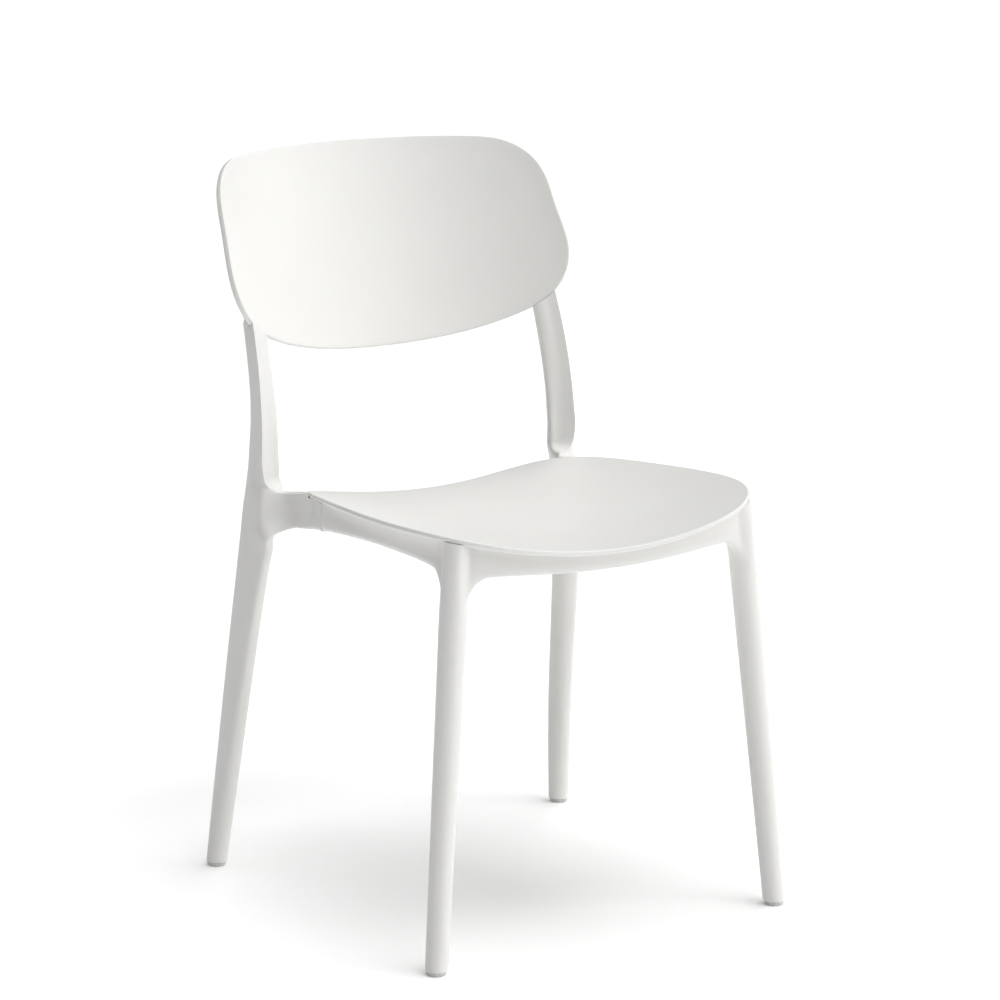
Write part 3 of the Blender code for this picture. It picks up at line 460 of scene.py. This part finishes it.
def crease_loops(obj, loops, length):
    """Makes the numbered loops of a shell crisp. Each loop has length points, in mesh order."""
    mesh = obj.data
    layer = mesh.attributes.get("crease_edge") or mesh.attributes.new("crease_edge", "FLOAT", "EDGE")
    wanted = {loop: set(range(loop * length, (loop + 1) * length)) for loop in loops}
    for edge in mesh.edges:
        a, b = edge.vertices
        if any(a in group and b in group for group in wanted.values()):
            layer.data[edge.index].value = 1.0


# ---------------------------------------------------------------- frame shapes

def front_leg_ring(z):
    """Eight points round a front leg at that height."""
    centre = FRONT_LEG_FOOT + z * FRONT_LEG_LEAN
    radius = FRONT_LEG_RADIUS + FRONT_LEG_FLARE * z
    turns = [math.radians(FRONT_LEG_TURN - 45 * i) for i in range(8)]
    return [centre + radius * Vector((math.cos(t), math.sin(t), 0)) for t in turns]


def side_rail_face(y):
    """The x of a side rail's outer face."""
    return SIDE_RAIL_FRONT_X + SIDE_RAIL_SLOPE * (y - SIDE_RAIL_FRONT_Y)


def front_rail_face(x):
    """The y of the front rail's front face, which bows forward."""
    return FRONT_RAIL_END_Y - FRONT_RAIL_BOW * (1.0 - (x / FRONT_RAIL_SPAN) ** 2)


def front_frame_cage():
    """The right half of the front frame: leg, side rail and half of the front rail."""
    bm = bmesh.new()
    bm.edges.layers.float.new("crease_edge")
    levels = (LEG_FOOT_Z, 0.120, 0.230, 0.320, 0.365, 0.388, 0.408, 0.430, 0.452, 0.468)
    rings = [ring_of(bm, front_leg_ring(z)) for z in levels]
    junction = rings[5:9]
    for lower, upper in zip(rings, rings[1:]):
        open_columns = (2, 3, 4, 5) if lower in junction[:3] else ()
        quads_between(bm, lower, upper, open_columns)
    cap_eight(bm, rings[0])
    cap_eight(bm, rings[-1])
    crease_ring(bm, rings[0])

    previous = mouth(junction, 6, 5, 4)
    # (y, height of the underside) along the side rail
    side_stations = ((-0.2180, 0.4058), (-0.2080, 0.4117), (-0.1900, 0.4137), (-0.1450, 0.4150),
                     (-0.0900, 0.4146), (-0.0350, 0.4121), (SEAM_Y - SEAM_WIDTH, 0.4089))
    for y, low in side_stations:
        def place(share, z, y=y):
            return Vector((side_rail_face(y) - share * SIDE_RAIL_THICK, y, z))
        ring = ring_of(bm, rail_ring(place, SIDE_RAIL_THICK, low, RAIL_CAGE_TOP))
        quads_between(bm, previous, ring)
        previous = ring
    cap_rail(bm, previous)
    crease_ring(bm, previous)

    previous = mouth(junction, 2, 3, 4)
    # (x, height of the underside) along the front rail
    front_stations = ((0.1600, 0.4000), (0.1525, 0.4048), (0.1420, 0.4067), (0.1050, 0.4054),
                      (0.0530, 0.4030), (0.0, 0.4022))
    for x, low in front_stations:
        def place(share, z, x=x):
            return Vector((x, front_rail_face(x) + share * RAIL_THICK, z))
        ring = ring_of(bm, rail_ring(place, RAIL_THICK, low, RAIL_CAGE_TOP))
        quads_between(bm, previous, ring)
        previous = ring
    return bm


def blend_section(first, second, share):
    """A section that lies between two others."""
    return [tuple(a + share * (b - a) for a, b in zip(p, q)) for p, q in zip(first, second)]


def rear_ring(z, x_out, width, y_front, depth, section):
    """The points of a section at that height, measured in from its outer and front sides."""
    return [Vector((x_out - inward * width, y_front + back * depth, z)) for inward, back in section]


def rear_frame_levels():
    """(height, outer x, width, front y, depth, section) up a rear leg and its upright."""
    foot_x = REAR_FOOT_CENTRE[0] + REAR_FOOT_RADIUS
    foot_reach = REAR_FOOT_RADIUS * math.sin(math.radians(45))
    foot_y = REAR_FOOT_CENTRE[1] - foot_reach
    low_leg = blend_section(ROUND_SECTION, LEG_SECTION, 0.4)

    def turning(share):
        return blend_section(BASE_SECTION, SHOULDER_SECTION, share)

    def rising(share):
        return blend_section(BASE_SECTION, UPRIGHT_SECTION, share)

    return (
        (LEG_FOOT_Z, foot_x - 0.0004, 2 * REAR_FOOT_RADIUS, foot_y, 2 * foot_reach, ROUND_SECTION),
        (0.120, 0.2297, 0.0238, 0.1552, 0.0246, low_leg),
        (0.250, 0.2191, 0.0222, 0.1297, 0.0374, LEG_SECTION),
        (0.345, 0.2115, 0.0208, 0.1100, 0.0472, LEG_SECTION),
        (0.372, 0.2093, 0.0206, 0.1022, 0.0524, LEG_SECTION),
        (0.389, 0.2081, 0.0209, 0.0980, 0.0547, LEG_SECTION),
        (0.404, 0.2068, 0.0225, 0.0985, 0.0530, LOW_SHOULDER_SECTION),
        (0.419, 0.2057, 0.0244, 0.1003, 0.0495, LOW_SHOULDER_SECTION),
        (0.4335, 0.2046, 0.0306, 0.1040, 0.0435, SHOULDER_SECTION),
        (0.443, 0.2037, 0.0294, 0.1105, 0.0360, turning(0.37)),
        (0.453, 0.2029, 0.0285, 0.1111, 0.0340, turning(0.15)),
        (0.466, 0.2021, 0.0275, 0.1118, 0.0322, BASE_SECTION),
        (0.482, 0.2011, 0.0268, 0.1126, 0.0310, rising(0.15)),
        (0.505, 0.1999, 0.0262, 0.1145, 0.0281, rising(0.4)),
        (0.540, 0.1981, 0.0251, 0.1201, 0.0263, rising(0.8)),
        (0.575, 0.1963, 0.0239, 0.1290, 0.0262, UPRIGHT_SECTION),
        (0.610, 0.1944, 0.0232, 0.1410, 0.0252, UPRIGHT_SECTION),
        (0.650, 0.1922, 0.0228, 0.1574, 0.0240, UPRIGHT_SECTION),
        (0.690, 0.1900, 0.0222, 0.1738, 0.0230, UPRIGHT_SECTION),
        (0.704, 0.1878, 0.0180, 0.1822, 0.0170, UPRIGHT_SECTION),
    )


def rear_frame_cage():
    """The right rear frame: leg, upright and the stub that meets the side rail."""
    bm = bmesh.new()
    layer = bm.edges.layers.float.new("crease_edge")
    levels = rear_frame_levels()
    rings = [ring_of(bm, rear_ring(*level)) for level in levels]
    junction = rings[5:9]
    for lower, upper in zip(rings, rings[1:]):
        quads_between(bm, lower, upper, (0, 1) if lower in junction[:3] else ())
    cap_eight(bm, rings[0])
    cap_eight(bm, rings[-1])
    crease_ring(bm, rings[0])
    for lower, upper in zip(rings[8:-2], rings[9:-1]):
        bm.edges.get((lower[0], upper[0]))[layer] = 1.0
    bm.edges.get((rings[-2][0], rings[-1][0]))[layer] = 0.6

    # (low edge's y, high edge's y, outer x, inner x, low z, high z) along the stub
    stations = (
        (0.0900, 0.0975, 0.1805, 0.1690, 0.3950, 0.4335),
        (0.0800, 0.0820, 0.1775, 0.1660, 0.3968, 0.4358),
        (0.0625, 0.0625, 0.1768, 0.1650, 0.3995, 0.4392),
        (0.0450, 0.0450, 0.1780, 0.1660, 0.4022, 0.4425),
        (0.0270, 0.0270, 0.1836, 0.1700, 0.4055, 0.4425),
        (SEAM_Y, SEAM_Y, side_rail_face(SEAM_Y), 0.1735, 0.4081, 0.4420),
    )
    previous = mouth(junction, 0, 1, 2)
    for low_y, high_y, outer, inner, low, high in stations:
        def place(share, z, s=(low_y, high_y, outer, inner, low, high)):
            up = (z - s[4]) / (s[5] - s[4])
            return Vector((s[2] + share * (s[3] - s[2]), s[0] + up * (s[1] - s[0]), z))
        ring = ring_of(bm, rail_ring(place, 0.4 * (outer - inner), low, high))
        quads_between(bm, previous, ring)
        bm.edges.get((previous[3], ring[3]))[layer] = 1.0
        previous = ring
    cap_rail(bm, previous)
    crease_ring(bm, previous)
    return bm


# ---------------------------------------------------------------- fastening features

def seat_bosses():
    """(x, y, height of the lug's floor) for the four screws under the seat."""
    spots = []
    for x, y in (FRONT_LUG, REAR_LUG):
        floor = seat_top(x, y) - SEAT_THICK - BOSS_DROP
        spots += [(side * x, y, floor) for side in (1, -1)]
    return spots


def back_screw_places():
    """(point on the back's front, direction that it faces) for each screw."""
    out = Vector((0.0, -math.cos(BACK_TILT), math.sin(BACK_TILT)))
    places = []
    for side in (1, -1):
        angle = side * BACK_SCREW_ARC / BACK_RADIUS
        normal = Vector((-math.sin(angle), 0, 0)) + math.cos(angle) * out
        places += [(back_point(side * BACK_SCREW_ARC, up), normal) for up in BACK_SCREW_HEIGHTS]
    return places


def lap_face(y):
    """The plane on which a tongue lies against the inside of its side rail."""
    return side_rail_face(y) - SIDE_RAIL_THICK + LAP_DEPTH


def tongue(side):
    """The part of a rear frame that laps behind its side rail."""
    front = TONGUE_FRONT_Y
    plan = ((TONGUE_X, front), (lap_face(front), front), (lap_face(SEAM_Y), SEAM_Y),
            *TONGUE_ROOT, (TONGUE_X, TONGUE_REAR_Y))
    return prism("tongue", plan, TONGUE_LOW_Z, TONGUE_HIGH_Z, side)


def tongue_room(side):
    """What is cut from the inside of a side rail, to let the tongue in."""
    front, rear = TONGUE_FRONT_Y - GAP, SEAM_Y + GAP
    inner = TONGUE_X - TONGUE_ROOM_INWARD
    plan = ((inner, front), (lap_face(front) + GAP, front), (lap_face(rear) + GAP, rear),
            (inner, rear))
    return prism("tongue_room", plan, TONGUE_LOW_Z - GAP, TONGUE_HIGH_Z + TONGUE_ROOM_RISE, side)


def lug(x, y, floor, reach_y):
    """A seat lug and the two bores through it, for the seat's boss and for its screw."""
    low_y, high_y = sorted((y, reach_y))
    low_y, high_y = min(low_y, y - LUG_HALF), max(high_y, y + LUG_HALF)
    bottom = floor - LUG_FLOOR
    low, high = (x - LUG_HALF, low_y, bottom), (x + LUG_HALF, high_y, floor + LUG_RISE)
    body = block("lug", low, high, 1, SOFT_EDGE)
    bore = rod("lug_bore", (x, y, floor), (x, y, floor + LUG_BORE_RISE), BOSS_RADIUS + GAP)
    start, end = (x, y, bottom - PAST_FACE), (x, y, floor + PAST_FACE)
    clear = rod("lug_hole", start, end, SCREW_RADIUS + GAP)
    return body, bore, clear


# ---------------------------------------------------------------- materials

def shader_of(name):
    """A new material with its nodes, its links and its main shader."""
    material = bpy.data.materials.new(name)
    material.use_nodes = True
    nodes = material.node_tree.nodes
    return material, nodes, material.node_tree.links, nodes["Principled BSDF"]


def moulded_plastic(name, colour, roughness, grain, grain_depth, drift=0.03):
    """White moulded plastic: fine grain in the surface, and slow drifts of colour and gloss."""
    material, nodes, links, shader = shader_of(name)
    place = nodes.new("ShaderNodeTexCoord")
    slow = nodes.new("ShaderNodeTexNoise")
    slow.inputs["Scale"].default_value = 9.0
    slow.inputs["Detail"].default_value = 3.0
    links.new(place.outputs["Object"], slow.inputs["Vector"])
    tint = nodes.new("ShaderNodeMix")
    tint.data_type = "RGBA"
    tint.inputs["A"].default_value = (*[c * (1 - drift) for c in colour], 1.0)
    tint.inputs["B"].default_value = (*[min(1.0, c * (1 + 0.4 * drift)) for c in colour], 1.0)
    links.new(slow.outputs["Fac"], tint.inputs["Factor"])
    links.new(tint.outputs["Result"], shader.inputs["Base Color"])
    gloss = nodes.new("ShaderNodeMapRange")
    gloss.inputs["To Min"].default_value = roughness - 0.04
    gloss.inputs["To Max"].default_value = roughness + 0.04
    links.new(slow.outputs["Fac"], gloss.inputs["Value"])
    links.new(gloss.outputs["Result"], shader.inputs["Roughness"])
    cells = nodes.new("ShaderNodeTexVoronoi")
    cells.inputs["Scale"].default_value = grain
    links.new(place.outputs["Object"], cells.inputs["Vector"])
    fine = nodes.new("ShaderNodeTexNoise")
    fine.inputs["Scale"].default_value = grain * 0.7
    fine.inputs["Detail"].default_value = 4.0
    links.new(place.outputs["Object"], fine.inputs["Vector"])
    both = nodes.new("ShaderNodeMath")
    both.operation = "ADD"
    links.new(cells.outputs["Distance"], both.inputs[0])
    links.new(fine.outputs["Fac"], both.inputs[1])
    bump = nodes.new("ShaderNodeBump")
    bump.inputs["Distance"].default_value = grain_depth
    bump.inputs["Strength"].default_value = 0.6
    links.new(both.outputs["Value"], bump.inputs["Height"])
    links.new(bump.outputs["Normal"], shader.inputs["Normal"])
    shader.inputs["Specular IOR Level"].default_value = 0.4
    return material


def bare_metal(name, colour, roughness):
    """Plated or turned metal with fine variation in tone and gloss."""
    material, nodes, links, shader = shader_of(name)
    shader.inputs["Metallic"].default_value = 1.0
    place = nodes.new("ShaderNodeTexCoord")
    fine = nodes.new("ShaderNodeTexNoise")
    fine.inputs["Scale"].default_value = 700.0
    fine.inputs["Detail"].default_value = 4.0
    links.new(place.outputs["Object"], fine.inputs["Vector"])
    tint = nodes.new("ShaderNodeMix")
    tint.data_type = "RGBA"
    tint.inputs["A"].default_value = (*[c * 0.85 for c in colour], 1.0)
    tint.inputs["B"].default_value = (*colour, 1.0)
    links.new(fine.outputs["Fac"], tint.inputs["Factor"])
    links.new(tint.outputs["Result"], shader.inputs["Base Color"])
    gloss = nodes.new("ShaderNodeMapRange")
    gloss.inputs["To Min"].default_value = roughness - 0.08
    gloss.inputs["To Max"].default_value = roughness + 0.08
    links.new(fine.outputs["Fac"], gloss.inputs["Value"])
    links.new(gloss.outputs["Result"], shader.inputs["Roughness"])
    return material


WHITE = (0.866, 0.860, 0.842)
SHELL = moulded_plastic("shell_white", WHITE, 0.50, 900.0, 0.00006)
FRAME = moulded_plastic("frame_white", WHITE, 0.38, 1500.0, 0.00001)
GLIDE = moulded_plastic("glide_white", (0.72, 0.72, 0.70), 0.50, 1200.0, 0.00002)
ZINC = bare_metal("zinc_steel", (0.62, 0.62, 0.60), 0.34)
BRASS = bare_metal("brass", (0.74, 0.56, 0.28), 0.34)


# ---------------------------------------------------------------- pieces

def show(piece, nodes):
    """Puts a visible piece on the body root, in the place of its CAD nodes."""
    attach(piece, "root")
    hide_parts(*nodes)


def make_seat():
    """The seat, with its four screw bosses."""
    profile = ((SEAT_RIM, 0.0), (0.008, 0.0), (0.0022, 0.0), (0.0006, 0.0003), (0.0, 0.0013),
               (0.0002, 0.0030), (0.0008, 0.0044), (0.0020, 0.0053), (0.0045, SEAT_THICK),
               (0.012, SEAT_THICK), (SEAT_RIM, SEAT_THICK))
    seat = add("seat", shell(seat_outline(), *SEAT_GRID, profile, seat_point), SHELL)
    smooth(seat, SHAPE_LEVELS)
    pass_through(seat)
    settle(seat)
    bosses, holes = [], []
    for x, y, foot in seat_bosses():
        top = seat_top(x, y) - BOSS_BITE
        bosses.append(rod("boss", (x, y, foot + GAP), (x, y, top), BOSS_RADIUS))
        start, end = (x, y, foot - BOSS_HOLE_START), (x, y, foot + BOSS_HOLE_DEEP)
        holes.append(rod("hole", start, end, SCREW_RADIUS + GAP))
    carve(seat, bosses, "UNION")
    carve(seat, holes)
    crisp(seat)
    show(seat, ["seat_shell"])


def make_back():
    """The back, a curved shell of even thickness."""
    profile = ((BACK_RIM, 0.0), (0.008, 0.0), (0.0022, 0.0), (0.0006, 0.0003), (0.0, 0.0014),
               (0.0001, 0.0036), (0.0006, 0.0056), (0.0020, 0.0067), (0.0050, BACK_THICK),
               (0.012, BACK_THICK), (BACK_RIM, BACK_THICK))
    bm = shell(back_outline(*BACK_GRID), *BACK_GRID, profile, back_point)
    back = add("backrest", bm, SHELL)
    smooth(back, SHAPE_LEVELS)
    pass_through(back)
    settle(back)
    show(back, ["backrest_shell"])


def make_front_frame():
    """Both front legs with the front and side rails, and the lugs and pockets in them."""
    piece = add("front_frame_body", front_frame_cage(), FRAME)
    mirror = piece.modifiers.new("Mirror", "MIRROR")
    mirror.merge_threshold = 0.0001
    smooth(piece, SHAPE_LEVELS)
    pass_through(piece)
    settle(piece)
    cuts = [tongue_room(side) for side in (1, -1)]
    for side in (1, -1):
        for y in FRAME_BOLT_Y:
            start = mirrored((lap_face(y) - PAST_FACE, y, FRAME_BOLT_Z), side)
            end = mirrored((lap_face(y) + 4 * GAP + INSERT_LONG, y, FRAME_BOLT_Z), side)
            cuts.append(rod("pocket", start, end, INSERT_RADIUS + GAP))
    lugs = []
    for x, y, floor in seat_bosses()[:2]:
        body, bore, clear = lug(x, y, floor, front_rail_face(x) + 0.5 * RAIL_THICK)
        lugs.append(body)
        cuts += [bore, clear]
    carve(piece, lugs, "UNION")
    carve(piece, cuts + [room_of_seat("seat_trim", TRIM_MARGIN)])
    crisp(piece)
    show(piece, ["front_frame"])


def make_rear_frame(side, word):
    """A rear leg with its upright, stub, tongue and pad for the cross rail."""
    bm = rear_frame_cage()
    if side < 0:
        bmesh.ops.scale(bm, verts=bm.verts, vec=(-1, 1, 1))
    piece = add(f"rear_frame_{word}", bm, FRAME)
    smooth(piece, SHAPE_LEVELS)
    pass_through(piece)
    settle(piece)
    carve(piece, [tongue(side), block("rail_pad", RAIL_PAD_LOW, RAIL_PAD_HIGH, side)], "UNION")
    cuts = []
    for y in FRAME_BOLT_Y:
        start = mirrored((TONGUE_X - PAST_FACE, y, FRAME_BOLT_Z), side)
        end = mirrored((TONGUE_X + FRAME_BOLT_REACH, y, FRAME_BOLT_Z), side)
        cuts.append(rod("tongue_hole", start, end, BOLT_RADIUS + GAP))
    for y in CROSS_RAIL_BOLT_Y:
        start = mirrored((CROSS_RAIL_FACE_X - PAST_FACE, y, CROSS_RAIL_BOLT_Z), side)
        end = mirrored((CROSS_RAIL_FACE_X + INSERT_LONG + 2 * GAP, y, CROSS_RAIL_BOLT_Z), side)
        tip = mirrored((CROSS_RAIL_FACE_X + PILOT_DEEP, y, CROSS_RAIL_BOLT_Z), side)
        cuts.append(rod("rear_pocket", start, end, INSERT_RADIUS + GAP))
        cuts.append(rod("rear_pilot", start, tip, BOLT_RADIUS + GAP))
    for spot, out in back_screw_places():
        if spot.x * side > 0:
            under, rear = spot - CAP_BORE_START * out, spot - CAP_BORE_END * out
            cuts.append(rod("upright_hole", spot, under - PAST_FACE * out, SCREW_RADIUS + GAP))
            cuts.append(rod("upright_bore", under, rear, CAP_RADIUS + GAP))
    cuts += [room_of_back("back_room"), room_of_seat("seat_room", SHELL_CLEARANCE)]
    carve(piece, cuts)
    crisp(piece)
    show(piece, [f"rear_side_frame_{word}"])


# ---------------------------------------------------------------- stage

CAMERA_PLACE = Vector((-2.2428, -3.5736, 1.3616))
CAMERA_LOOK = Vector((0.52387, 0.82359, -0.21739))
CAMERA_LENS, CAMERA_SENSOR = 143.9, 36.0
CAMERA_AZIMUTH = math.radians(-122.46)      # the way from the chair to the camera, in plan
CAMERA_FAR = 60.0
FLOOR_HALF, FLOOR_TONE, FLOOR_GLOW = 30.0, 0.96, 0.14
WORLD_STRENGTH, VIEW_GAMMA = 0.05, 0.8
SUN_SOFTNESS = math.radians(50)
# (name, degrees to the right of the camera, degrees above the floor, strength)
SUNS = (("key", 49, 52, 1.08), ("top", 0, 90, 1.45), ("right", 86, 14, 0.94),
        ("rear_right", 135, 45, 0.62), ("left", -90, 45, 0.14))


def make_camera():
    """A long lens, placed as the photo was taken."""
    data = bpy.data.cameras.new("camera")
    data.lens = CAMERA_LENS
    data.sensor_width = CAMERA_SENSOR
    data.clip_end = CAMERA_FAR
    camera = bpy.data.objects.new("camera", data)
    bpy.context.scene.collection.objects.link(camera)
    camera.location = CAMERA_PLACE
    camera.rotation_euler = CAMERA_LOOK.to_track_quat("-Z", "Y").to_euler()
    bpy.context.scene.camera = camera


def sun(name, azimuth, height, strength):
    """A broad, soft light from that side of the camera's line of sight (right is positive)."""
    data = bpy.data.lights.new(name, "SUN")
    data.energy = strength
    data.angle = SUN_SOFTNESS
    light = bpy.data.objects.new(name, data)
    bpy.context.scene.collection.objects.link(light)
    turn, rise = CAMERA_AZIMUTH + math.radians(azimuth), math.radians(height)
    towards = Vector((math.cos(turn) * math.cos(rise), math.sin(turn) * math.cos(rise), math.sin(rise)))
    light.rotation_euler = towards.to_track_quat("Z", "Y").to_euler()


def make_stage():
    """A wide pale floor."""
    bm = bmesh.new()
    bmesh.ops.create_grid(bm, x_segments=1, y_segments=1, size=FLOOR_HALF)
    floor = add("floor", bm)
    material, _, _, shader = shader_of("pale_floor")
    shader.inputs["Base Color"].default_value = (FLOOR_TONE, FLOOR_TONE, FLOOR_TONE, 1.0)
    shader.inputs["Roughness"].default_value = 0.9
    shader.inputs["Specular IOR Level"].default_value = 0.1
    shader.inputs["Emission Color"].default_value = (1.0, 1.0, 1.0, 1.0)
    shader.inputs["Emission Strength"].default_value = FLOOR_GLOW
    floor.data.materials.append(material)


def make_light():
    """Soft suns, a faint even sky, and the contrast of the view."""
    world = bpy.data.worlds.new("studio")
    bpy.context.scene.world = world
    world.use_nodes = True
    background = world.node_tree.nodes["Background"]
    background.inputs["Color"].default_value = (1.0, 1.0, 1.0, 1.0)
    background.inputs["Strength"].default_value = WORLD_STRENGTH
    for name, azimuth, height, strength in SUNS:
        sun(name, azimuth, height, strength)
    bpy.context.scene.view_settings.view_transform = "Standard"
    bpy.context.scene.view_settings.gamma = VIEW_GAMMA


def cad_finish(name):
    """The material of a CAD node that is shown as it is."""
    if "insert" in name:
        return BRASS
    if name.startswith("foot_glide"):
        return GLIDE
    if "cap" not in name and ("bolt" in name or "screw" in name):
        return ZINC
    return FRAME


make_camera()
make_stage()
make_light()
make_seat()
make_back()
make_front_frame()
make_rear_frame(1, "right")
make_rear_frame(-1, "left")
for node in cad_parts.values():
    node.data.materials.clear()
    node.data.materials.append(cad_finish(node.name))
